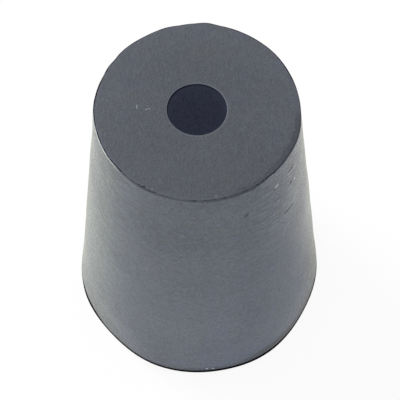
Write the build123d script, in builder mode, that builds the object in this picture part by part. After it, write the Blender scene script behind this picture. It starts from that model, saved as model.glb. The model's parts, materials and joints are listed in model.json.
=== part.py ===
from build123d import *
import os

# Laboratory rubber stopper, US size 1, with one hole for glass tubing
#
# The stopper is one moulding of black rubber. It is a plain cone frustum that
# wedges into the neck of a flask or test tube, narrow end first. Its hole runs
# straight through along the axis and grips a glass tube pushed into it.
#
# All lengths are in millimetres. The origin is the centre of the large end,
# and +Z runs along the axis to the small end, so the stopper stands on its
# large end as it does on a bench.

# Standard sizes of a size 1 stopper. Both end diameters are taken to the sharp
# corner between the end face and the tapered side, before the edge is rounded.
LARGE_END_DIAMETER = 19.0
SMALL_END_DIAMETER = 14.0
LENGTH = 25.0
HOLE_DIAMETER = 4.0

# Edges. The large end is the one that is pushed and pulled, and its edge is the
# softest. The small end has a narrow edge, so that it starts cleanly in a neck,
# and the hole's mouths are almost sharp, as the moulding pin leaves them.
LARGE_RIM_RADIUS = 0.8
SMALL_RIM_RADIUS = 0.2
HOLE_MOUTH_RADIUS = 0.1


def rim_and_mouth(end_edges):
    """Splits the two circles of one end face: the rim outside, the hole's mouth inside."""
    mouth, rim = end_edges.filter_by(GeomType.CIRCLE).sort_by(SortBy.RADIUS)
    return rim, mouth


def make_stopper():
    """The whole stopper: a revolved frustum, bored through, with its edges rounded."""
    with BuildPart() as stopper:
        # Half of the lengthways section, from the axis out to the tapered side
        with BuildSketch(Plane.XZ):
            with BuildLine():
                Polyline(
                    (0, 0),
                    (LARGE_END_DIAMETER / 2, 0),
                    (SMALL_END_DIAMETER / 2, LENGTH),
                    (0, LENGTH),
                    close=True,
                )
            make_face()
        revolve(axis=Axis.Z)

        Hole(radius=HOLE_DIAMETER / 2)

        # The end faces hold the lowest and the highest circles along the axis
        ends = stopper.edges().filter_by(GeomType.CIRCLE).group_by(Axis.Z)
        large_rim, large_mouth = rim_and_mouth(ends[0])
        small_rim, small_mouth = rim_and_mouth(ends[-1])
        fillet(large_rim, radius=LARGE_RIM_RADIUS)
        fillet(small_rim, radius=SMALL_RIM_RADIUS)
        fillet([large_mouth, small_mouth], radius=HOLE_MOUTH_RADIUS)
    return stopper


os.makedirs("parts", exist_ok=True)

stopper = make_stopper()
stopper.part.label = "stopper"
export_step(stopper.part, "parts/stopper.step")
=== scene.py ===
# %% [markdown]
# # A laboratory rubber stopper
#
# The object is one moulding of black rubber: a cone frustum with a straight hole through its
# axis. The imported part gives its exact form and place, so it is loaded first and measured. Every
# later size is either read from it or is a named length of the real stopper.

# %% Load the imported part
import json
import math

import bmesh
import bpy
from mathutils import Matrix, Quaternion, Vector
from mathutils.kdtree import KDTree


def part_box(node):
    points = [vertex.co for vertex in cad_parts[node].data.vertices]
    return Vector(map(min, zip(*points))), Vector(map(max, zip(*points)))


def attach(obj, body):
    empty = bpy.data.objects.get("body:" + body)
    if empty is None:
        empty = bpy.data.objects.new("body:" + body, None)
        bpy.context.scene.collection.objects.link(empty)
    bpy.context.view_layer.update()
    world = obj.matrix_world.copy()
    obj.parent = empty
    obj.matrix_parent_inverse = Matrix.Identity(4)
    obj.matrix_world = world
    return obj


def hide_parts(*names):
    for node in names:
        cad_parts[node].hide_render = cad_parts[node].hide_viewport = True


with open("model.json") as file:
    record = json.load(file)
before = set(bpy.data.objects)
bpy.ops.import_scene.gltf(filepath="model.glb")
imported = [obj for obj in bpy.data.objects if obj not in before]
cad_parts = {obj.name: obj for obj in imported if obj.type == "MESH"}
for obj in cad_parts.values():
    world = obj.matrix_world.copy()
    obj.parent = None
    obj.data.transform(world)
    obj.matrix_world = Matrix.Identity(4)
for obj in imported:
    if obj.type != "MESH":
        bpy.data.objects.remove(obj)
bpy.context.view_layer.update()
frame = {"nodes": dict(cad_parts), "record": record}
print("pieces in the frame:", list(frame["nodes"]))

# %% [markdown]
# ## Sizes
#
# Blender works in metres here, so one millimetre has a name of its own. The length comes from the
# part's box and the hole from its mount. The two end radii are those of the sharp corners, which
# the rounded edges have cut away. The box can't give them, so they are written as real sizes.

# %% Sizes of the stopper
MM = 0.001

low_corner, high_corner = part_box("stopper")
LENGTH = high_corner[2] - low_corner[2]
bore_mount = next(m for m in frame["record"]["mounts"] if m["name"] == "tube_bore")
BORE_RADIUS = bore_mount["dims"]["r_mm"] * MM
LARGE_END_RADIUS = 9.5 * MM
SMALL_END_RADIUS = 7.0 * MM
LARGE_RIM_ROUNDING = 0.8 * MM
SMALL_RIM_ROUNDING = 0.2 * MM
MOUTH_ROUNDING = 0.1 * MM

print("length mm", round(LENGTH / MM, 3), "bore radius mm", BORE_RADIUS / MM)

# %% [markdown]
# ## The section
#
# A moulded round part is easiest to read from its lengthways section, the shape that a saw cut
# through the axis would show. A cone primitive would give the taper at once, but not the hole or
# the four roundings. So a plane is stood up as wide as the small end's wall, and its outer bottom
# corner is pulled out to the large end.

# %% Helpers for selecting
TOUCH = 0.001 * MM


def pick(piece):
    """Makes the piece the one selected and active object."""
    bpy.ops.object.select_all(action="DESELECT")
    piece.select_set(True)
    bpy.context.view_layer.objects.active = piece


def select_points(piece, test):
    """Selects the points of the piece in edit mode whose place passes the test."""
    bpy.context.tool_settings.mesh_select_mode = (True, False, False)
    mesh = bmesh.from_edit_mesh(piece.data)
    for point in mesh.verts:
        point.select_set(False)
    for point in mesh.verts:
        if test(point.co):
            point.select_set(True)
    mesh.select_flush_mode()
    bmesh.update_edit_mesh(piece.data)
    return sum(point.select for point in mesh.verts)


def close_to(*place):
    """A test that only the point at this place passes."""
    return lambda co: (co - Vector(place)).length < TOUCH


print("points closer than this are one point, mm:", TOUCH / MM)

# %% Stand up the plane and pull it to a taper
bpy.ops.object.select_all(action="DESELECT")
wall_middle = ((BORE_RADIUS + SMALL_END_RADIUS) / 2, 0, LENGTH / 2)
bpy.ops.mesh.primitive_plane_add(size=1, location=wall_middle, rotation=(math.radians(90), 0, 0))
stopper = bpy.context.object
stopper.name = "rubber_stopper"
stopper.scale = (SMALL_END_RADIUS - BORE_RADIUS, LENGTH, 1)
bpy.ops.object.transform_apply(location=True, rotation=True, scale=True)

bpy.ops.object.mode_set(mode="EDIT")
select_points(stopper, close_to(SMALL_END_RADIUS, 0, 0))
bpy.ops.transform.translate(value=(LARGE_END_RADIUS - SMALL_END_RADIUS, 0, 0))
print("corners of the section:", len(bmesh.from_edit_mesh(stopper.data).verts))

# %% [markdown]
# ## The roundings
#
# The large end's edge is soft, the small end's edge is narrow, and the hole's mouths are almost
# sharp. Bevelling the flat section is better than bevelling the finished solid, because each
# corner is one point here and the arcs come out exact. A rounding of radius r starts a little way
# back from its corner: r divided by the tangent of half the corner's angle. The two outer corners
# aren't square, because the side leans.

# %% Round the four corners
LEAN = math.atan2(LARGE_END_RADIUS - SMALL_END_RADIUS, LENGTH)
SQUARE = math.radians(90)
MOUTH_STEPS = 4
LARGE_RIM_STEPS = 10
SMALL_RIM_STEPS = 6


def round_corner(place, radius, corner_angle, steps):
    """Bevels one corner of the section to an arc, and gives the distance from corner to arc."""
    setback = radius / math.tan(corner_angle / 2)
    select_points(stopper, close_to(*place))
    bpy.ops.mesh.bevel(offset=setback, offset_type="OFFSET", segments=steps, affect="VERTICES")
    return setback


round_corner((BORE_RADIUS, 0, 0), MOUTH_ROUNDING, SQUARE, MOUTH_STEPS)
round_corner((BORE_RADIUS, 0, LENGTH), MOUTH_ROUNDING, SQUARE, MOUTH_STEPS)
large_corner, small_corner = (LARGE_END_RADIUS, 0, 0), (SMALL_END_RADIUS, 0, LENGTH)
large_setback = round_corner(large_corner, LARGE_RIM_ROUNDING, SQUARE - LEAN, LARGE_RIM_STEPS)
small_setback = round_corner(small_corner, SMALL_RIM_ROUNDING, SQUARE + LEAN, SMALL_RIM_STEPS)
print("points round the section:", len(bmesh.from_edit_mesh(stopper.data).verts))

# %% [markdown]
# ## The solid
#
# The face inside the section isn't wanted, only its outline. Spinning the outline once round the
# axis sweeps the whole surface, hole and all, much as the mould's cavity was turned on a lathe.
# The first and last copies meet, so their points are merged, and the normals are then set
# outwards.

# %% Spin the outline round the axis
SPIN_STEPS = 300

bpy.ops.mesh.select_all(action="SELECT")
bpy.ops.mesh.delete(type="ONLY_FACE")
bpy.ops.mesh.select_all(action="SELECT")
bpy.ops.mesh.spin(steps=SPIN_STEPS, angle=math.radians(360), center=(0, 0, 0), axis=(0, 0, 1))
bpy.ops.mesh.select_all(action="SELECT")
bpy.ops.mesh.remove_doubles(threshold=TOUCH)
bpy.ops.mesh.normals_make_consistent(inside=False)
print("faces:", len(bmesh.from_edit_mesh(stopper.data).faces))

# %% [markdown]
# ## Rings
#
# The long runs of the section are still one face each. Cutting the edges that run lengthways
# gives rings of small, nearly square faces. The side needs the most, because the grinding marks
# are pressed into it later. Cutting after the spin is far quicker than spinning an outline of
# many points. Subdivide makes at most 100 cuts, so the side is cut twice.

# %% Cut the long runs into rings
SIDE_CUTS = 79
SIDE_CUTS_AGAIN = 2
TOP_FACE_CUTS = 30
BASE_FACE_CUTS = 11
BORE_CUTS = 15
ARC_SHARE = 0.9


def side_radius(height):
    """Radius of the tapered side at a height, before its edges are rounded."""
    return LARGE_END_RADIUS - height * math.tan(LEAN)


def on_side(co):
    """True on the straight part of the tapered side, with the points where the arcs start."""
    off_line = abs(co.xy.length - side_radius(co.z))
    low, high = large_setback * ARC_SHARE, LENGTH - small_setback * ARC_SHARE
    return off_line < TOUCH and low < co.z < high


def cut_run(piece, test, cuts):
    """Cuts every edge that runs lengthways between two points that pass the test."""
    bpy.context.tool_settings.mesh_select_mode = (False, True, False)
    bpy.ops.mesh.select_all(action="DESELECT")
    half_a_step = math.pi / SPIN_STEPS
    mesh = bmesh.from_edit_mesh(piece.data)
    for edge in mesh.edges:
        one, other = (point.co for point in edge.verts)
        if test(one) and test(other) and one.xy.angle(other.xy) < half_a_step:
            edge.select_set(True)
    bmesh.update_edit_mesh(piece.data)
    bpy.ops.mesh.subdivide(number_cuts=cuts)


cut_run(stopper, lambda co: abs(co.z - LENGTH) < TOUCH, TOP_FACE_CUTS)
cut_run(stopper, lambda co: abs(co.z) < TOUCH, BASE_FACE_CUTS)
cut_run(stopper, lambda co: abs(co.xy.length - BORE_RADIUS) < TOUCH, BORE_CUTS)
cut_run(stopper, on_side, SIDE_CUTS)
cut_run(stopper, on_side, SIDE_CUTS_AGAIN)
bpy.ops.object.mode_set(mode="OBJECT")
sides = {len(face.vertices) for face in stopper.data.polygons}
print("faces:", len(stopper.data.polygons), "with this many sides:", sides)

# %% [markdown]
# ## Memory of the mould
#
# The marks, bands and lines on the surface belong to the moulding, not to the warped shape that
# it gets next. So each point keeps its place as moulded, in millimetres, in an attribute that the
# materials read. Object coordinates would do for an even pattern, but here a line has to stay on
# its edge when the edge is pushed.

# %% Remember where each point was moulded
as_moulded = stopper.data.attributes.new("as_moulded", "FLOAT_VECTOR", "POINT")
for point, kept in zip(stopper.data.vertices, as_moulded.data):
    kept.vector = point.co / MM
print("points with a moulded place:", len(as_moulded.data))

# %% [markdown]
# ## Zones
#
# One moulding of one rubber still has four finishes: the ends keep the mould's skin, the side is
# ground, the narrow edges between them are bare, and the hole is cored by a pin. The faces of
# each are found by their distance from the corners while the form is still exact. The bare edges
# reach further onto the side where the lines of painted shade on them do: at the right of the
# small end, and at the right and left of the large one. Such a place is given by its direction
# round the axis, in degrees from +X, then how far from that direction it is full, and how far
# from it it ends.

# %% Give each face its zone
MOULDED, GROUND, EDGE, CORED = range(4)
# The extra reaches follow the lines of painted shade, which run further onto the side there.
SMALL_EDGE_REACH = 0.19 * MM
LARGE_EDGE_REACH = 1.08 * MM
SMALL_EDGE_EXTRA_REACH = 0.21 * MM
LARGE_EDGE_EXTRA_REACH = 0.36 * MM
SMALL_EDGE_LOW_LINE_SIDE = (-20, 12, 28)
LARGE_EDGE_TALL_LINE_SIDES = ((4, 12, 36), (-172, 12, 30))
CORED_REACH = MOUTH_ROUNDING * 0.6
SIDE_SLACK = TOUCH * 20


def round_axis(azimuth, radius, height):
    """The place at a direction round the axis, a distance from it and a height."""
    turn = math.radians(azimuth)
    return Vector((radius * math.cos(turn), radius * math.sin(turn), height))


def near_direction(middle, azimuth, inner, outer):
    """1 within inner degrees of a direction from the axis, falling to 0 at outer degrees."""
    off = math.degrees(middle.xy.angle(round_axis(azimuth, 1, 0).xy))
    return min(1, max(0, (outer - off) / (outer - inner)))


def zone(middle):
    """Which finish a face has, from its middle."""
    radius = middle.xy.length
    if radius < BORE_RADIUS + CORED_REACH:
        return CORED
    to_small_rim = math.hypot(radius - SMALL_END_RADIUS, middle.z - LENGTH)
    to_large_rim = math.hypot(radius - LARGE_END_RADIUS, middle.z)
    small_reach = SMALL_EDGE_REACH + SMALL_EDGE_EXTRA_REACH * near_direction(middle, *SMALL_EDGE_LOW_LINE_SIDE)
    extra = sum(near_direction(middle, *side) for side in LARGE_EDGE_TALL_LINE_SIDES)
    large_reach = LARGE_EDGE_REACH + LARGE_EDGE_EXTRA_REACH * extra
    if to_small_rim < small_reach or to_large_rim < large_reach:
        return EDGE
    return GROUND if radius > side_radius(middle.z) - SIDE_SLACK else MOULDED


for face in stopper.data.polygons:
    face.material_index = zone(face.center)
for name, index in (("moulded", MOULDED), ("ground", GROUND), ("edge", EDGE), ("cored", CORED)):
    print(name, "faces:", sum(face.material_index == index for face in stopper.data.polygons))

# %% [markdown]
# The grinding wheel bit deeper on the right of the small end than elsewhere, and a little deeper
# on the left. Two vertex groups tell the modifiers below where the ground side is and how deep
# the marks are on it.

# %% Group the points of the side
LEAST_MARKED = 0.25
WORN_SIDES = ((-32, 1.0), (-158, 0.5))
WORN_SPREAD = 34
MARKS_START = 0.35
MARKS_RISE = 0.4


def marked(place):
    """How deep the grinding marks are at a place on the side, from 0 to 1."""
    azimuth = math.degrees(math.atan2(place.y, place.x))
    extra = max(part * (1 - abs(azimuth - side) / WORN_SPREAD) for side, part in WORN_SIDES)
    high_up = min(1, max(0, place.z / LENGTH - MARKS_START) / MARKS_RISE)
    return LEAST_MARKED + (1 - LEAST_MARKED) * max(0, extra) * high_up


ground_side = stopper.vertex_groups.new(name="ground side")
grinding = stopper.vertex_groups.new(name="grinding marks")
for point in stopper.data.vertices:
    if on_side(point.co):
        ground_side.add([point.index], 1, "REPLACE")
        grinding.add([point.index], marked(point.co), "REPLACE")
print("points on the ground side:", sum(bool(point.groups) for point in stopper.data.vertices))

# %% [markdown]
# ## Cuts in the side
#
# Use has left a few short cuts near the small end. Each is a shallow groove that a material alone
# couldn't shade rightly from every side, so the points along it are pressed in. A place on the
# side is given by its direction round the axis, in degrees from +X, and its height in
# millimetres.

# %% Press the cuts into the side
CUT_DEPTH = 0.02 * MM
CUTS = (
    ((-25.2, 22.73), (-31.5, 22.87), 0.12),
    ((-38.4, 18.67), (-32.3, 18.48), 0.11),
    ((-32.3, 18.48), (-29.5, 18.37), 0.06),
    ((-64.5, 21.95), (-63.0, 22.12), 0.14),
    ((-30.9, 21.45), (-30.2, 21.40), 0.14),
    ((-45.0, 22.94), (-44.4, 22.95), 0.12),
)


def on_side_at(azimuth, height):
    """The place in mm of a point on the side."""
    return round_axis(azimuth, side_radius(height * MM) / MM, height)


def press_cut(piece, start, end, width):
    """Presses a groove into the side along the line between two places."""
    run = end - start

    def in_the_cut(co):
        along = min(1, max(0, (co / MM - start).dot(run) / run.length_squared))
        return (co / MM - start - run * along).length < width / 2

    found = select_points(piece, in_the_cut)
    outward = Vector((start.x + end.x, start.y + end.y, 0)).normalized()
    bpy.ops.transform.translate(value=-outward * CUT_DEPTH)
    return found


pick(stopper)
bpy.ops.object.mode_set(mode="EDIT")
for start, end, width in CUTS:
    print("points in the cut:", press_cut(stopper, on_side_at(*start), on_side_at(*end), width))
bpy.ops.object.mode_set(mode="OBJECT")

# %% [markdown]
# ## Out of square
#
# The small end of this stopper is slightly out of square: it drops towards +X by less than a
# degree. A lattice cage of eight corners does this gently. Its upper corners move up on one side
# and down on the other. With straight interpolation all between follows in proportion, and the
# base stays flat.

# %% Tilt the small end with a cage
END_TILT = math.radians(0.75)


def deform_with_cage(piece, shift):
    """Wraps the piece in a cage of eight corners, moves each by shift(place), and applies it."""
    bpy.ops.object.select_all(action="DESELECT")
    bpy.ops.object.add(type="LATTICE", location=(0, 0, LENGTH / 2))
    cage = bpy.context.object
    size = Vector((2 * LARGE_END_RADIUS, 2 * LARGE_END_RADIUS, LENGTH))
    cage.scale = size
    for direction in "uvw":
        setattr(cage.data, "interpolation_type_" + direction, "KEY_LINEAR")
    for corner in cage.data.points:
        place = corner.co * size + Vector((0, 0, LENGTH / 2))
        move = shift(place)
        corner.co_deform = corner.co + Vector([step / side for step, side in zip(move, size)])
    bpy.context.view_layer.update()
    modifier = piece.modifiers.new("Cage", "LATTICE")
    modifier.object = cage
    pick(piece)
    bpy.ops.object.modifier_apply(modifier=modifier.name)
    bpy.data.objects.remove(cage)


deform_with_cage(stopper, lambda place: (0, 0, -place.x * math.tan(END_TILT) * place.z / LENGTH))
print("highest point mm:", round(max(point.co.z for point in stopper.data.vertices) / MM, 3))

# %% [markdown]
# ## Out of round
#
# Soft rubber doesn't come out of its mould perfectly round. Seen from above, the large end has
# two flatter places, with a slight one between them and fuller ones beside them, and the small
# end's edge has small dents and one step. Each is made by pushing one point of the edge in or out
# with proportional editing, which takes the points round it along, less and less with distance.
# Each row below gives the direction round the axis, how far the push reaches and how far it goes,
# in millimetres.

# %% Push the two ends in and out
LARGE_END_PUSH_HEIGHT = 0.6 * MM
SMALL_END_PUSH_HEIGHT = LENGTH - 0.06 * MM
LARGE_END_PUSHES = (
    (-29, 4.5, -0.155),
    (-62, 3.0, 0.035),
    (-82, 4.5, -0.045),
    (-138, 4.5, -0.17),
    (-172, 4.5, 0.07),
)
SMALL_END_PUSHES = (
    (178, 2.2, 0.055),
    (156, 0.8, -0.03),
    (144, 0.8, -0.05),
    (120, 1.8, -0.045),
    (100, 1.0, -0.045),
    (84, 1.0, 0.09),
    (42, 2.5, 0.03),
    (-17, 2.0, 0.06),
    (-57, 1.2, 0.04),
    (-138, 1.5, -0.03),
)


def push(piece, finder, place, reach, distance):
    """Pushes the surface out at the point nearest to a place, and softly round it."""
    nearest = finder.find(place)[1]
    bpy.ops.mesh.select_all(action="DESELECT")
    mesh = bmesh.from_edit_mesh(piece.data)
    mesh.verts.ensure_lookup_table()
    mesh.verts[nearest].select_set(True)
    bmesh.update_edit_mesh(piece.data)
    outward = Vector((place.x, place.y, 0)).normalized()
    bpy.ops.transform.translate(
        value=outward * distance,
        use_proportional_edit=True,
        proportional_edit_falloff="SMOOTH",
        proportional_size=reach,
    )


finder = KDTree(len(stopper.data.vertices))
for point in stopper.data.vertices:
    finder.insert(point.co, point.index)
finder.balance()

pick(stopper)
bpy.ops.object.mode_set(mode="EDIT")
bpy.context.tool_settings.mesh_select_mode = (True, False, False)
for pushes, radius, height in (
    (LARGE_END_PUSHES, LARGE_END_RADIUS, LARGE_END_PUSH_HEIGHT),
    (SMALL_END_PUSHES, SMALL_END_RADIUS, SMALL_END_PUSH_HEIGHT),
):
    for azimuth, reach, distance in pushes:
        push(stopper, finder, round_axis(azimuth, radius, height), reach * MM, distance * MM)
bpy.ops.object.mode_set(mode="OBJECT")
print("size mm:", [round(side / MM, 3) for side in stopper.dimensions])

# %% [markdown]
# ## Waves and grinding marks
#
# The tapered side of a moulded stopper is ground on a turning wheel. That leaves slow waves a few
# millimetres apart, and short shallow marks that run round the side. A Displace modifier presses
# both into the mesh with cloud noise. The noise is read through an empty. For the marks the empty
# is long in X and Y and short in Z, so that its blobs become streaks, and it is leant over,
# because the streaks slope by some degrees. The vertex groups keep both off the ends and out of
# the hole, and make the marks deepest where the wheel bit.

# %% Press waves and grinding marks into the side
WAVE_SPANS = (4.0 * MM, 4.0 * MM, 4.0 * MM)
WAVE_DEPTH = 0.08 * MM
MARK_SPANS = (0.8 * MM, 0.8 * MM, 0.22 * MM)
MARK_DEPTH = 0.015 * MM
MARK_TURN = (0, math.radians(12), math.radians(55))


def displace(piece, group, size, turn, depth, detail):
    """Moves the points of a group in and out by cloud noise stretched to a size in X, Y and Z."""
    bpy.ops.object.select_all(action="DESELECT")
    bpy.ops.object.empty_add(rotation=turn)
    ruler = bpy.context.object
    ruler.scale = size
    clouds = bpy.data.textures.new(group, "CLOUDS")
    clouds.noise_scale = 1
    clouds.noise_depth = detail
    bpy.context.view_layer.update()
    modifier = piece.modifiers.new(group, "DISPLACE")
    modifier.texture = clouds
    modifier.texture_coords = "OBJECT"
    modifier.texture_coords_object = ruler
    modifier.strength = depth
    modifier.mid_level = 0.5
    modifier.vertex_group = group
    pick(piece)
    bpy.ops.object.modifier_apply(modifier=modifier.name)
    bpy.data.objects.remove(ruler)


before = [point.co.copy() for point in stopper.data.vertices]
displace(stopper, "ground side", WAVE_SPANS, (0, 0, 0), WAVE_DEPTH, 0)
displace(stopper, "grinding marks", MARK_SPANS, MARK_TURN, MARK_DEPTH, 1)
moves = [(point.co - old).length for point, old in zip(stopper.data.vertices, before)]
print("largest move mm:", round(max(moves) / MM, 3))

# %% [markdown]
# ## Helpers for the finishes
#
# One function turns an sRGB hex colour into the linear values that Blender wants. Another adds a
# shader node with its settings and links, and gives the output that the next node reads. A third
# starts a material with no nodes. Everything in the materials is built with these.

# %% A colour and a node


def colour(hex_code):
    """Linear RGBA of an sRGB hex colour such as '4B505B', by the standard sRGB curve."""
    parts = [int(hex_code[i : i + 2], 16) / 255 for i in (0, 2, 4)]
    return [p / 12.92 if p <= 0.04045 else ((p + 0.055) / 1.055) ** 2.4 for p in parts] + [1]


def add_node(tree, kind, sockets=None, out=None, **settings):
    """Adds a node, sets its options, fills or links its sockets, and gives one of its outputs."""
    made = tree.nodes.new("ShaderNode" + kind)
    for option, value in settings.items():
        setattr(made, option, value)
    for name, value in (sockets or {}).items():
        if isinstance(value, bpy.types.NodeSocket):
            tree.links.new(value, made.inputs[name])
        else:
            made.inputs[name].default_value = value
    if out:
        return made.outputs[out]
    return next((socket for socket in made.outputs if socket.enabled), None)


def empty_material(name):
    """A material with no nodes yet."""
    material = bpy.data.materials.new(name)
    material.use_nodes = True
    material.node_tree.nodes.clear()
    return material


print("mid grey in linear light:", round(colour("808080")[0], 3))

# %% [markdown]
# ## Masks by place
#
# The finishes are laid out by place on the stopper. `moulded_place` gives a point's place, its
# height above the large end and its distance from the axis. `facing` is 1 round one direction
# from the axis and 0 away from it. `spot` keeps that to some heights or radii as well, and
# `scratch` is 1 along a short line on the surface. `blobs` is a cloudy pattern of a real size,
# and with unequal sizes it makes streaks.

# %% Masks by place
SOFT = {"interpolation_type": "SMOOTHSTEP"}


def between(value, start, full):
    """Settings of a Map Range node that goes from 0 at start to 1 at full."""
    return {"Value": value, "From Min": start, "From Max": full}


def moulded_place(tree):
    """A point's place as moulded, its height and its distance from the axis, in mm."""
    place = add_node(tree, "Attribute", out="Vector", attribute_name="as_moulded")
    height = add_node(tree, "SeparateXYZ", {"Vector": place}, out="Z")
    level = add_node(tree, "VectorMath", {0: place, 1: (1, 1, 0)}, operation="MULTIPLY")
    radius = add_node(tree, "VectorMath", {0: level}, operation="LENGTH")
    return place, height, radius


def facing(tree, place, azimuth, inner, outer):
    """1 within inner degrees of a direction from the axis, and 0 from outer degrees on."""
    inner, outer = math.radians(inner), math.radians(outer)
    level = add_node(tree, "VectorMath", {0: place, 1: (1, 1, 0)}, operation="MULTIPLY")
    level = add_node(tree, "VectorMath", {0: level}, operation="NORMALIZE")
    side = round_axis(azimuth, 1, 0)
    cosine = add_node(tree, "VectorMath", {0: level, 1: side}, operation="DOT_PRODUCT")
    limits = between(cosine, math.cos(outer), math.cos(inner))
    return add_node(tree, "MapRange", limits, **SOFT)


def spot(tree, place, side, length, start, full):
    """0 to 1 on one side, as a height, a radius or the like goes from start to full, in mm."""
    share = add_node(tree, "MapRange", between(length, start, full), **SOFT)
    on_it = facing(tree, place, *side)
    return add_node(tree, "Math", {0: on_it, 1: share}, operation="MULTIPLY")


def scratch(tree, place, start, end, width):
    """1 along the line between two places in mm on the surface, and 0 beyond its width."""
    run = end - start
    way = run.normalized()
    offset = add_node(tree, "VectorMath", {0: place, 1: start}, operation="SUBTRACT")
    along = add_node(tree, "VectorMath", {0: offset, 1: way}, operation="DOT_PRODUCT")
    along = add_node(tree, "Clamp", {"Value": along, "Min": 0, "Max": run.length})
    nearest = add_node(tree, "VectorMath", {0: way, "Scale": along}, operation="SCALE")
    gap = add_node(tree, "VectorMath", {0: offset, 1: nearest}, operation="DISTANCE")
    return add_node(tree, "MapRange", between(gap, width * 0.75, width * 0.25), **SOFT)


def blobs(tree, place, size, turn=(0, 0, 0), detail=1.0):
    """Cloudy blobs of a size in mm along X, Y and Z, with values from -0.5 to 0.5."""
    fit = {"Vector": place, "Rotation": turn, "Scale": size}
    fitted = add_node(tree, "Mapping", fit, vector_type="TEXTURE")
    cloud = add_node(tree, "TexNoise", {"Vector": fitted, "Scale": 1, "Detail": detail})
    return add_node(tree, "Math", {0: cloud, 1: 0.5}, operation="SUBTRACT")


print("masks: facing, spot, scratch, blobs")

# %% [markdown]
# A dark line of painted shade runs round the small end. It lies on the edge, but on the right it
# drops a third of a millimetre down the side. `off_small_line` tells how far a point is from it,
# and the function after it gives the band of painted shade inside it on the right.

# %% Masks for the shaded small end
# Where the line of painted shade drops down the side on the right.
DROPPED_LINE_RIGHT = (-20, 22, 42)
DROPPED_LINE_FAR_RIGHT = (-8, 14, 44)
BACK = (90, 70, 112)
SMALL_LINE_MIDDLE = 0.01
SHADED_BAND_SIDE = (-38, 26, 40)
WIDER_BAND_SIDE = (-22, 22, 36)
SHADED_BAND_RADII = (6.70, 6.75)
UNEVEN_MM, RAGGED_MM, PATCHY_MM = 0.5, 0.35, 0.25


def off_small_line(tree, place, height, radius):
    """How far below the middle of the dark line round the small end a point lies, in mm."""
    off = add_node(tree, "Math", {0: radius, 1: height}, operation="SUBTRACT")
    off = add_node(tree, "Math", {0: off, 1: (LENGTH - SMALL_END_RADIUS) / MM}, operation="ADD")
    right = {0: facing(tree, place, *DROPPED_LINE_RIGHT), 1: facing(tree, place, *DROPPED_LINE_FAR_RIGHT)}
    right = add_node(tree, "Math", right, operation="MINIMUM")
    behind = facing(tree, place, *BACK)
    uneven = blobs(tree, place, (UNEVEN_MM,) * 3, detail=3.0)
    middle = SMALL_LINE_MIDDLE
    for part, weight in ((right, 0.34), (behind, -0.02), (uneven, 0.14)):
        middle = add_node(tree, "Math", {0: part, 1: weight, 2: middle}, operation="MULTIPLY_ADD")
    return add_node(tree, "Math", {0: off, 1: middle}, operation="SUBTRACT")


def shaded_band(tree, place, radius):
    """1 in a band of painted shade along the right of the small end, ragged on its inside."""
    wider = facing(tree, place, *WIDER_BAND_SIDE)
    ragged = blobs(tree, place, (RAGGED_MM,) * 3, detail=3.0)
    out = radius
    for part, weight in ((wider, 0.12), (ragged, 0.7)):
        out = add_node(tree, "Math", {0: part, 1: weight, 2: out}, operation="MULTIPLY_ADD")
    band = spot(tree, place, SHADED_BAND_SIDE, out, *SHADED_BAND_RADII)
    patchy = blobs(tree, place, (PATCHY_MM,) * 3, detail=2.0)
    patchy = add_node(tree, "Math", {0: patchy, 1: 1.8, 2: 1.05}, operation="MULTIPLY_ADD")
    return add_node(tree, "Math", {0: band, 1: patchy}, operation="MULTIPLY")


# The band that starts at this radius is painted shade.
print("worn band from mm:", SHADED_BAND_RADII[0])

# %% [markdown]
# ## What all the rubber shares
#
# Filled black rubber is a dark grey dielectric with an index of refraction of about 1.5. Close up
# it isn't one grey: the filler gives a fine grain and clumps into a coarser speckle, and wax that
# has bloomed to the surface leaves patches a shade bluer or browner. The real grain is a few
# hundredths of a millimetre, too fine to show in the picture, so it is drawn two to four times
# coarser.

# %% Grain, patches and depth of tone
RUBBER_IOR = 1.5
GRAIN_MM = 0.13
SPECKLE_MM = 0.4
PATCH_MM = 1.3
BLOOM_MM = 5.0
RELIEF_DEPTH = 0.02 * MM


def rubber_grain(tree, place):
    """Three scales of unevenness in the rubber's tone: fine grain, speckle and bloom."""
    grain = blobs(tree, place, (GRAIN_MM,) * 3, detail=0.0)
    speckle = blobs(tree, place, (SPECKLE_MM,) * 3, detail=1.0)
    bloom = blobs(tree, place, (BLOOM_MM,) * 3)
    return grain, speckle, bloom


def mottled(tree, place, one, other):
    """Two near shades of the rubber in faint patches."""
    patches = blobs(tree, place, (PATCH_MM,) * 3)
    patches = add_node(tree, "Math", {0: patches, 1: 1.8, 2: 0.5}, operation="MULTIPLY_ADD")
    shades = {0: patches, 6: colour(one), 7: colour(other)}
    return add_node(tree, "Mix", shades, data_type="RGBA")


def toned(tree, paint, tone, parts):
    """The paint with its brightness at a tone plus the weighed parts."""
    for part, weight in parts:
        tone = add_node(tree, "Math", {0: part, 1: weight, 2: tone}, operation="MULTIPLY_ADD")
    return add_node(tree, "HueSaturation", {"Color": paint, "Value": tone})


print("grain, speckle, patches, bloom in mm:", GRAIN_MM, SPECKLE_MM, PATCH_MM, BLOOM_MM)
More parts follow.
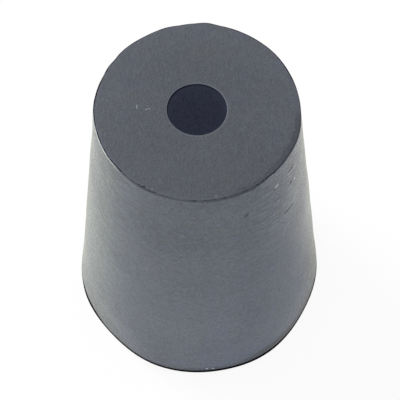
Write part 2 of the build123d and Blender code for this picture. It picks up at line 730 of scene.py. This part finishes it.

# %% [markdown]
# ## Moulded black rubber
#
# The two ends keep the skin that the mould gave them. It is dull and dark blue-grey, a little
# darker before the hole. Painted shade makes it darker towards the front edge, and painted light
# makes it lighter at the far one. On the right a dark band of painted shade follows the edge,
# with a ragged inner border. A thin pale line of painted highlight rings the mouth of the hole
# and is clearest at its left. Two pale nicks lie left of the hole and three near the front edge.
# Each tone below is given by the side it is on, the radii in millimetres where it starts and is
# full, and how much lighter or darker the skin is there.

# %% Moulded black rubber: where its marks are
PALE_NICKS = (
    ((-4.09, 0.36, 25), (-4.08, 0.12, 25), 0.07, "7E8189"),
    ((-3.52, 0.02, 25), (-3.20, 0.08, 25), 0.05, "7E8189"),
    ((-3.09, -6.04, 25), (-3.00, -6.09, 25), 0.07, "64676F"),
    ((-1.52, -6.66, 25), (-1.50, -6.68, 25), 0.07, "64676F"),
    ((1.10, -6.66, 25), (1.22, -6.64, 25), 0.07, "64676F"),
)
MOUTH_RING = (2.17, 2.12)
SKIN_TONE = 0.708
SKIN_TONES = (
    # First row painted shade, second painted light, last a painted highlight round the mouth.
    ((-65, 12, 40), (3.5, 7.0), -0.07),
    ((100, 60, 140), (3.5, 7.0), 0.13),
    ((-97, 40, 90), (6.0, 4.2), -0.05),
    ((170, 90, 140), MOUTH_RING, 0.20),
)

moulded = empty_material("Moulded black rubber")
tree = moulded.node_tree
place, _, radius = moulded_place(tree)
tones = [(spot(tree, place, side, radius, *radii), more) for side, radii, more in SKIN_TONES]
# Painted shade in the band on the right, and a painted highlight ring round the mouth.
band = shaded_band(tree, place, radius)
ring = add_node(tree, "MapRange", between(radius, *MOUTH_RING), **SOFT)
print("pale nicks:", len(PALE_NICKS), "tones:", len(tones))

# %% Moulded black rubber: paint and relief
grain, speckle, bloom = rubber_grain(tree, place)
tones += [(band, -0.20), (ring, 0.10), (grain, 0.45), (speckle, 0.26), (bloom, 0.15)]
paint = toned(tree, mottled(tree, place, "474C59", "4A4F55"), SKIN_TONE, tones)
for start, end, width, shade in PALE_NICKS:
    line = scratch(tree, place, Vector(start), Vector(end), width)
    paint = add_node(tree, "Mix", {0: line, 6: paint, 7: colour(shade)}, data_type="RGBA")
relief = add_node(tree, "Math", {0: grain, 1: speckle}, operation="ADD")
relief = add_node(tree, "Bump", {"Height": relief, "Distance": RELIEF_DEPTH})
skin = {"Base Color": paint, "Roughness": 0.6, "IOR": RUBBER_IOR, "Normal": relief}
shader = add_node(tree, "BsdfPrincipled", skin)
add_node(tree, "OutputMaterial", {"Surface": shader})
print("made", moulded.name, "with", len(tree.nodes), "nodes")

# %% [markdown]
# ## Ground black rubber
#
# Grinding cuts through the skin, so the side is lighter and less blue, and it is silkier than the
# ends: at a flat angle it shines almost white. Painted light makes its tone lighter towards the
# large end, and painted shade lays a dark band along its foot at the front and right. The wheel's
# short streaks run round the side. At the upper right they are strongest, and single fine marks
# there are pale or dark. Under the edge at the right runs a short broken bright line, and at the
# left a pale one; both are painted highlights. Away from the front a painted reflection turns the
# paint warmer, less so on the back, and at the left and far right the side is blotchy.
#
# The tones are given as before. Those that run the whole height have no heights of their own.

# %% Ground black rubber: tones by place
GROUND_TONE = 0.83
UPPER_RIGHT = (-31, 13, 38)
FAR_RIGHT = (-11, 8, 24)
# The tall tones are painted shade and light on the right of the side.
TALL_TONES = (
    (FAR_RIGHT, -0.14),
    ((-28, 6, 22), -0.12),
    ((-55, 14, 34), 0.12),
)
SHORT_TONES = (
    ((-138, 16, 42), (12, 4), -0.27),
    ((-62, 12, 32), (12, 4), 0.12),
    ((-112, 10, 35), (15, 22), 0.07),
    ((-75, 14, 30), (5, 2), 0.10),
    ((-150, 12, 28), (5, 2), -0.14),
)

ground = empty_material("Ground black rubber")
tree = ground.node_tree
place, height, radius = moulded_place(tree)
# Painted light makes the side lighter low down.
low_down = add_node(tree, "MapRange", between(height, 24, 2), **SOFT)
tones = [(low_down, 0.36)]
for side, more in TALL_TONES:
    tones.append((facing(tree, place, *side), more))
for side, heights, more in SHORT_TONES:
    tones.append((spot(tree, place, side, height, *heights), more))
print("tones by place:", len(tones))

# %% Ground black rubber: the dark foot, the bright line and the pale one
FOOT_SIDE = (-52, 36, 62)
DARK_FOOT_SIDE = (-33, 16, 42)
FOOT_HEIGHT = 1.4
DARK_FOOT_RISE = 0.45
BRIGHT_LINE_SIDE = (-44, 9, 15)
PALE_LINE_SIDE = (-176, 26, 40)
PALE_LINE = "C6C8C4"

# The dark foot is painted shade; the bright line and the pale line are painted highlights.
dark_side = facing(tree, place, *DARK_FOOT_SIDE)
foot = {0: dark_side, 1: DARK_FOOT_RISE, 2: FOOT_HEIGHT}
foot = add_node(tree, "Math", foot, operation="MULTIPLY_ADD")
foot = add_node(tree, "Math", {0: foot, 1: height}, operation="SUBTRACT")
foot = spot(tree, place, FOOT_SIDE, foot, -0.12, 0.12)
dark_foot = add_node(tree, "Math", {0: dark_side, 1: foot}, operation="MULTIPLY")
below_line = off_small_line(tree, place, height, radius)
broken = blobs(tree, place, (UNEVEN_MM,) * 3, detail=2.0)
bright_line = spot(tree, place, BRIGHT_LINE_SIDE, below_line, 0.30, 0.24)
for limits in (between(below_line, 0.05, 0.08), between(broken, -0.08, 0.02)):
    share = add_node(tree, "MapRange", limits, **SOFT)
    bright_line = add_node(tree, "Math", {0: bright_line, 1: share}, operation="MULTIPLY")
pale_line = spot(tree, place, PALE_LINE_SIDE, height, 24.68, 24.76)
tones += [(foot, -0.42), (dark_foot, -0.58), (bright_line, 0.60)]
print("the foot's height in mm:", FOOT_HEIGHT)

# %% Ground black rubber: streaks and blotches
FINE_STREAKS = (1.2, 1.2, 0.14)
BROAD_STREAKS = (1.2, 1.2, 0.3)
BLOTCHES = (1.0, 1.0, 0.6)
FINE_START, FINE_FULL = 0.09, 0.14

upper_right = spot(tree, place, UPPER_RIGHT, height, 13, 20)
fine = blobs(tree, place, FINE_STREAKS, turn=MARK_TURN, detail=1.0)
fine_marks = []
for sign in (1, -1):
    limits = between(fine, sign * FINE_START, sign * FINE_FULL)
    marks = add_node(tree, "MapRange", limits, **SOFT)
    fine_marks.append(add_node(tree, "Math", {0: marks, 1: upper_right}, operation="MULTIPLY"))
pale_streaks, dark_streaks = fine_marks
fine = add_node(tree, "Math", {0: pale_streaks, 1: dark_streaks}, operation="SUBTRACT")
broad = blobs(tree, place, BROAD_STREAKS, turn=MARK_TURN, detail=3.0)
right = facing(tree, place, *UPPER_RIGHT)
right_broad = add_node(tree, "Math", {0: broad, 1: right}, operation="MULTIPLY")
both_sides = {0: facing(tree, place, -168, 15, 55), 1: facing(tree, place, *FAR_RIGHT)}
both_sides = add_node(tree, "Math", both_sides, operation="ADD")
blotches = blobs(tree, place, BLOTCHES, turn=MARK_TURN, detail=3.0)
blotches = add_node(tree, "Math", {0: blotches, 1: both_sides}, operation="MULTIPLY")
tones += [(broad, 0.22), (right_broad, 0.12), (blotches, 1.1)]
print("streaks, length and width in mm:", FINE_STREAKS[1:], BROAD_STREAKS[1:])

# %% Ground black rubber: paint
grain, speckle, bloom = rubber_grain(tree, place)
tones += [(grain, 1.0), (speckle, 0.60), (bloom, 0.30)]
# Painted reflection: away from the front the paint turns to the side's warm tint at a flat angle.
grazing_tint = 0.5
for side, more in (((-78, 50, 76), -0.5), ((90, 10, 75), -0.3)):
    faced = facing(tree, place, *side)
    grazing_tint = add_node(tree, "Math", {0: faced, 1: more, 2: grazing_tint}, operation="MULTIPLY_ADD")
paint = mottled(tree, place, "495265", "4B535D")
paint = add_node(tree, "Mix", {0: grazing_tint, 6: paint, 7: colour("606A5A")}, data_type="RGBA")
paint = toned(tree, paint, GROUND_TONE, tones)
for marks, strength, shade in ((pale_streaks, 0.30, "89919A"), (dark_streaks, 0.65, "213348")):
    marks = add_node(tree, "Math", {0: marks, 1: strength}, operation="MULTIPLY")
    paint = add_node(tree, "Mix", {0: marks, 6: paint, 7: colour(shade)}, data_type="RGBA")
print("tones in all:", len(tones))

# %% Ground black rubber: cuts, pale marks and relief
PALE_MARKS = (
    ((-43.9, 22.96), (-41.6, 23.03), 0.12),
    ((-26.7, 21.15), (-26.2, 21.10), 0.13),
    # A painted highlight on the lit edge of the cut just above it; the other rows are nicks.
    ((-22.9, 22.38), (-32.6, 22.72), 0.07),
    ((-87.3, 1.25), (-87.1, 1.25), 0.13),
    ((-84.4, 1.18), (-84.2, 1.18), 0.13),
)

cuts = 0
for start, end, width in CUTS:
    cut = scratch(tree, place, on_side_at(*start), on_side_at(*end), width)
    cuts = add_node(tree, "Math", {0: cut, 1: cuts}, operation="MAXIMUM")
# The dark inside the cuts is painted shade.
in_cuts = add_node(tree, "Math", {0: cuts, 1: 0.8}, operation="MULTIPLY")
layers = [(in_cuts, "16171B")]
for start, end, width in PALE_MARKS:
    mark = scratch(tree, place, on_side_at(*start), on_side_at(*end), width)
    layers.append((mark, "C8CACC"))
layers.append((pale_line, PALE_LINE))
for mask, shade in layers:
    paint = add_node(tree, "Mix", {0: mask, 6: paint, 7: colour(shade)}, data_type="RGBA")
dull = add_node(tree, "Math", {0: cuts, 1: 0.6, 2: 0.22}, operation="MULTIPLY_ADD")
relief = grain
for part, weight in ((fine, 0.4), (broad, 0.6), (blotches, 1.5)):
    relief = add_node(tree, "Math", {0: part, 1: weight, 2: relief}, operation="MULTIPLY_ADD")
relief = add_node(tree, "Bump", {"Height": relief, "Distance": RELIEF_DEPTH})
shader = add_node(
    tree,
    "BsdfPrincipled",
    {
        "Base Color": paint,
        "Roughness": dull,
        "IOR": RUBBER_IOR,
        "Normal": relief,
        "Sheen Weight": 0.6,
        "Sheen Roughness": 0.12,
        "Sheen Tint": (0.98, 1, 0.65, 1),
        "Specular Tint": (0.98, 1, 0.92, 1),
    },
)
add_node(tree, "OutputMaterial", {"Surface": shader})
print("made", ground.name, "with", len(tree.nodes), "nodes")

# %% [markdown]
# ## Bare edge rubber
#
# The narrow edges are neither skin nor ground. Each end of the stopper is drawn round with a
# thin, nearly black line of painted shade: round the small end the shade on its narrow rounding,
# round the large end the stopper's contact shadow on its rounded foot. Round the small end it is
# broken and uneven at the front, and five dark crumbs lie along it between the front left and the
# front.
# Round the large end it is even, a little taller at the right and left, with a short gap at the
# left. Both are painted by how far a point is from them. The finish has no gloss, so the lines
# stay dark from every side.

# %% Bare edge rubber: the line round the small end
LEFT_EDGE = (-160, 20, 50)
SMALL_LINE_REACH = 0.028
SMALL_LINE_BLUR = 0.015
SMALL_LINE_DARKNESS = 0.50
BROKEN_MM = 0.22

edge = empty_material("Bare edge rubber")
tree = edge.node_tree
place, height, radius = moulded_place(tree)
behind = facing(tree, place, *BACK)
right = facing(tree, place, *DROPPED_LINE_RIGHT)
left = facing(tree, place, *LEFT_EDGE)
front_left = facing(tree, place, -120, 16, 30)
front_right = facing(tree, place, -59, 7, 14)
broken = blobs(tree, place, (BROKEN_MM,) * 3, detail=2.0)

# The small end's line is painted shade.
below_line = off_small_line(tree, place, height, radius)
off_line = add_node(tree, "Math", {0: below_line}, operation="ABSOLUTE")
reach = SMALL_LINE_REACH
for part, weight in ((behind, 0.056), (left, 0.008), (right, 0.014), (broken, 0.06)):
    reach = add_node(tree, "Math", {0: part, 1: weight, 2: reach}, operation="MULTIPLY_ADD")
inside = add_node(tree, "Math", {0: reach, 1: off_line}, operation="SUBTRACT")
limits = between(inside, -SMALL_LINE_BLUR, SMALL_LINE_BLUR)
small_line = add_node(tree, "MapRange", limits, **SOFT)
dark = SMALL_LINE_DARKNESS
for part, weight in (
    (behind, 0.5),
    (left, 0.3),
    (right, 0.3),
    (front_left, -0.25),
    (front_right, -0.5),
    (broken, 3.2),
):
    dark = add_node(tree, "Math", {0: part, 1: weight, 2: dark}, operation="MULTIPLY_ADD")
dark = add_node(tree, "Clamp", {"Value": dark})
small_line = add_node(tree, "Math", {0: small_line, 1: dark}, operation="MULTIPLY")
print("half the line's width in mm:", SMALL_LINE_REACH)

# %% Bare edge rubber: dark crumbs on the small end's rounding
DARK_CRUMBS = (
    ((-122.9, 6.97), (-121.0, 6.87), 0.08),
    ((-118.2, 6.96), (-117.8, 6.96), 0.10),
    ((-116.1, 6.98), (-115.3, 6.95), 0.06),
    ((-114.7, 6.93), (-114.1, 6.91), 0.06),
    ((-92.4, 6.99), (-91.8, 6.99), 0.06),
)


def on_small_rim_at(azimuth, radius):
    """The place in mm of a point on the small end's rounding, from its direction and radius."""
    rounding = SMALL_RIM_ROUNDING / MM
    out = radius - (SMALL_END_RADIUS - small_setback) / MM
    height = LENGTH / MM - rounding + math.sqrt(rounding**2 - out**2)
    return round_axis(azimuth, radius, height)


for start, end, width in DARK_CRUMBS:
    crumb = scratch(tree, place, on_small_rim_at(*start), on_small_rim_at(*end), width)
    crumb = add_node(tree, "Math", {0: crumb, 1: 0.8}, operation="MULTIPLY")
    small_line = add_node(tree, "Math", {0: small_line, 1: crumb}, operation="MAXIMUM")
print("dark crumbs:", len(DARK_CRUMBS))

# %% Bare edge rubber: the line round the large end
LARGE_LINE_FOOT = (0.36, 0.44)
LARGE_LINE_TOP = 0.97
LARGE_LINE_RISE = 0.34
LARGE_LINE_GAP = (178, 5, 15)

# The large end's line is painted shade: the contact shadow on the rounded foot.
top = LARGE_LINE_TOP
taller = [(side, LARGE_LINE_RISE) for side in LARGE_EDGE_TALL_LINE_SIDES]
for side, more in taller + [((-15, 25, 55), 0.12)]:
    faced = facing(tree, place, *side)
    top = add_node(tree, "Math", {0: faced, 1: more, 2: top}, operation="MULTIPLY_ADD")
under = add_node(tree, "Math", {0: top, 1: height}, operation="SUBTRACT")
under = add_node(tree, "MapRange", between(under, -0.09, 0.07), **SOFT)
over = add_node(tree, "MapRange", between(height, *LARGE_LINE_FOOT), **SOFT)
large_line = add_node(tree, "Math", {0: under, 1: over}, operation="MULTIPLY")
gap = facing(tree, place, *LARGE_LINE_GAP)
unbroken = add_node(tree, "Math", {0: 1.0, 1: gap}, operation="SUBTRACT")
large_line = add_node(tree, "Math", {0: large_line, 1: unbroken}, operation="MULTIPLY")
black = add_node(tree, "Math", {0: small_line, 1: large_line}, operation="MAXIMUM")
print("top of the line in mm:", LARGE_LINE_TOP, "to", LARGE_LINE_TOP + LARGE_LINE_RISE)

# %% [markdown]
# Between the lines the edge is the rubber's own grey. Painted shade makes it darker in the band
# along the right and on the flat part beside it, painted light makes it lighter low down at the
# left, and a pale line of painted highlight runs under the small end's line at the left, as on
# the ground side.

# %% Bare edge rubber: paint
high_up = add_node(tree, "MapRange", between(height, 20, 22), **SOFT)
# Painted shade in the band along the right and on the flat part beside it.
band = {0: shaded_band(tree, place, radius), 1: high_up}
band = add_node(tree, "Math", band, operation="MULTIPLY")
flat_right = spot(tree, place, (-24, 18, 30), radius, 6.88, 6.80)
low_left = spot(tree, place, LEFT_EDGE, height, 22, 20)
pale = spot(tree, place, PALE_LINE_SIDE, below_line, 0.10, 0.14)
pale = add_node(tree, "Math", {0: pale, 1: high_up}, operation="MULTIPLY")
paint = toned(tree, colour("5D5F68"), 1.0, [(band, -0.18), (flat_right, -0.15)])
# Painted light low at the left, a painted highlight, then the painted shade lines in near black.
for mask, shade in ((low_left, "808284"), (pale, PALE_LINE), (black, "08080A")):
    paint = add_node(tree, "Mix", {0: mask, 6: paint, 7: colour(shade)}, data_type="RGBA")
no_gloss = {"Base Color": paint, "Roughness": 0.7, "Specular IOR Level": 0.0}
shader = add_node(tree, "BsdfPrincipled", no_gloss)
add_node(tree, "OutputMaterial", {"Surface": shader})
print("made", edge.name, "with", len(tree.nodes), "nodes")

# %% [markdown]
# ## Cored black rubber
#
# The pin that cores the hole leaves a dull wall. Looking down the hole one sees deep blue-black,
# a little lighter than real darkness, because light comes in at the far end and haze scatters it.
# A faint glow in the finish stands in for that light, and the wall's near-black colour is painted
# shade. The mouth itself has a darker ring of painted shade, and outside it the rounding is as
# grey as the end.

# %% Cored black rubber
DARK_RING_RADIUS = 2.012
DARK_RING_BLUR = 0.005
DARK_RING_FOOT, DARK_RING_TOP = 24.80, 24.88

cored = empty_material("Cored black rubber")
tree = cored.node_tree
place, height, radius = moulded_place(tree)
ring = DARK_RING_RADIUS
for side, more in (((170, 15, 75), 0.044), ((25, 60, 100), 0.009)):
    faced = facing(tree, place, *side)
    ring = add_node(tree, "Math", {0: faced, 1: more, 2: ring}, operation="MULTIPLY_ADD")
ring = add_node(tree, "Math", {0: ring, 1: radius}, operation="SUBTRACT")
limits = between(ring, -DARK_RING_BLUR, DARK_RING_BLUR)
ring = add_node(tree, "MapRange", limits, **SOFT)
deep = add_node(tree, "MapRange", between(height, DARK_RING_TOP, DARK_RING_FOOT), **SOFT)
grain = blobs(tree, place, (GRAIN_MM, GRAIN_MM, GRAIN_MM * 2.4), detail=0.0)
layers = []
# The dark ring and the near-black wall are painted shade, and the glow is painted light.
for outside, on_ring, below in (("666A75", "0D0E13", "1E202A"), ("000000", "101016", "282A37")):
    inside = {0: deep, 6: colour(on_ring), 7: colour(below)}
    inside = add_node(tree, "Mix", inside, data_type="RGBA")
    all_over = {0: ring, 6: colour(outside), 7: inside}
    layers.append(add_node(tree, "Mix", all_over, data_type="RGBA"))
wall, glow = layers
glow = toned(tree, glow, 1.0, [(grain, 0.7)])
shader = add_node(
    tree,
    "BsdfPrincipled",
    {
        "Base Color": wall,
        "Roughness": 0.8,
        "Specular IOR Level": 0.0,
        "Emission Color": glow,
        "Emission Strength": 1.05,
    },
)
add_node(tree, "OutputMaterial", {"Surface": shader})
print("made", cored.name, "with", len(tree.nodes), "nodes")

# %% [markdown]
# ## Putting it together
#
# The four finishes go into the slots that the zones count on, in the same order. Shading is
# smooth all over: the roundings are modelled, so no edge needs to be kept hard. Then the piece
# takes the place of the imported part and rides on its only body.

# %% Put the finishes on the stopper
for finish in (moulded, ground, edge, cored):
    stopper.data.materials.append(finish)
pick(stopper)
bpy.ops.object.shade_smooth()
print("finishes:", [slot.material.name for slot in stopper.material_slots])

# %% Join the piece to the frame
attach(stopper, "root")
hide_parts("stopper")
print("pieces that ride:", stopper.name)

# %% [markdown]
# ## White paper
#
# The stopper stands on a sheet of white paper that runs out to a white background. A wide plane
# does for both. Paper lit like this would look pale grey, so part of it is shown as pure white to
# the camera alone. The rest is plain paper, which keeps the stopper's soft shadow and throws
# light back onto it.

# %% Floor
FLOOR_SPAN = 3.0
FLOOR_GLOW = 0.92
FLOOR_GLOW_IN_GLOSS = 0.3
PAPER = (0.95, 0.95, 0.95, 1)
WHITE = (1, 1, 1, 1)
RAYS = ("Is Camera Ray", "Is Transmission Ray", "Is Glossy Ray")

bpy.ops.object.select_all(action="DESELECT")
bpy.ops.mesh.primitive_plane_add(size=FLOOR_SPAN)
floor = bpy.context.object
floor.name = "floor"

paper = empty_material("White paper")
tree = paper.node_tree
sheet = add_node(tree, "BsdfDiffuse", {"Color": PAPER})
glow = add_node(tree, "Emission", {"Color": WHITE, "Strength": 1.0})
by_camera, through, in_gloss = (add_node(tree, "LightPath", out=ray) for ray in RAYS)
part = add_node(tree, "Math", {0: by_camera, 1: through}, operation="MAXIMUM")
part = add_node(tree, "Math", {0: part, 1: FLOOR_GLOW}, operation="MULTIPLY")
part = {0: in_gloss, 1: FLOOR_GLOW_IN_GLOSS, 2: part}
part = add_node(tree, "Math", part, operation="MULTIPLY_ADD")
both = add_node(tree, "MixShader", {0: part, 1: sheet, 2: glow})
add_node(tree, "OutputMaterial", {"Surface": both})
floor.data.materials.append(paper)
print("made", floor.name)

# %% [markdown]
# ## Light tent
#
# Small glossy things are photographed in a tent of white cloth, which lights them evenly from all
# round. The world is that tent: a plain white at a moderate strength for the light it gives, and
# pure white where the camera or a reflection sees it. One large softbox up at the back left gives
# the left side its brightness and the soft shadow on the right.

# %% World
SKY_STRENGTH = 0.62

world = bpy.data.worlds.new("Light tent")
bpy.context.scene.world = world
world.use_nodes = True
tree = world.node_tree
tree.nodes.clear()
soft_light = add_node(tree, "Background", {"Color": WHITE, "Strength": SKY_STRENGTH})
white = add_node(tree, "Background", {"Color": WHITE, "Strength": 1.0})
by_camera, through, in_gloss = (add_node(tree, "LightPath", out=ray) for ray in RAYS)
seen = add_node(tree, "Math", {0: by_camera, 1: through}, operation="MAXIMUM")
seen = add_node(tree, "Math", {0: seen, 1: in_gloss}, operation="MAXIMUM")
both = add_node(tree, "MixShader", {0: seen, 1: soft_light, 2: white})
add_node(tree, "OutputWorld", {"Surface": both})
print("sky strength:", SKY_STRENGTH)

# %% Softbox
LAMP_PLACE = Vector((-0.35, 0.26, 0.50))
LAMP_DIAMETER = 0.30
LAMP_WATTS = 3.0

bpy.ops.object.light_add(type="AREA", location=LAMP_PLACE)
softbox = bpy.context.object
softbox.data.shape = "DISK"
softbox.data.size = LAMP_DIAMETER
softbox.data.energy = LAMP_WATTS
small_end = Vector((0, 0, LENGTH))
softbox.rotation_euler = (small_end - LAMP_PLACE).to_track_quat("-Z", "Y").to_euler()
print("softbox away from the stopper m:", round(LAMP_PLACE.length, 3))

# %% [markdown]
# ## Camera
#
# The camera looks down at the stopper from the front, 65 degrees above the floor and 136 mm away.
# At that distance the near end is drawn clearly larger, which is what gives the small end its
# width in the picture. The distance, height, aim, roll and lens were worked out together from the
# stopper's outline and the rims of its end and hole.

# %% Camera
CAMERA_DISTANCE = 135.568 * MM
CAMERA_ELEVATION = math.radians(64.758)
CAMERA_ROLL = math.radians(-0.7716)
AIM = Vector((0.108 * MM, 0, 11.711 * MM))
LENS_MM = 150.69
SENSOR_MM = 36

place = Vector((0, -math.cos(CAMERA_ELEVATION), math.sin(CAMERA_ELEVATION))) * CAMERA_DISTANCE
bpy.ops.object.camera_add(location=place)
camera = bpy.context.object
towards = (AIM - place).to_track_quat("-Z", "Y")
camera.rotation_mode = "QUATERNION"
camera.rotation_quaternion = towards @ Quaternion((0, 0, 1), CAMERA_ROLL)
camera.data.lens = LENS_MM
camera.data.sensor_width = SENSOR_MM
camera.data.clip_start = MM
bpy.context.scene.camera = camera
bpy.context.scene.view_settings.view_transform = "Standard"
print("camera at mm:", [round(c / MM, 2) for c in place])
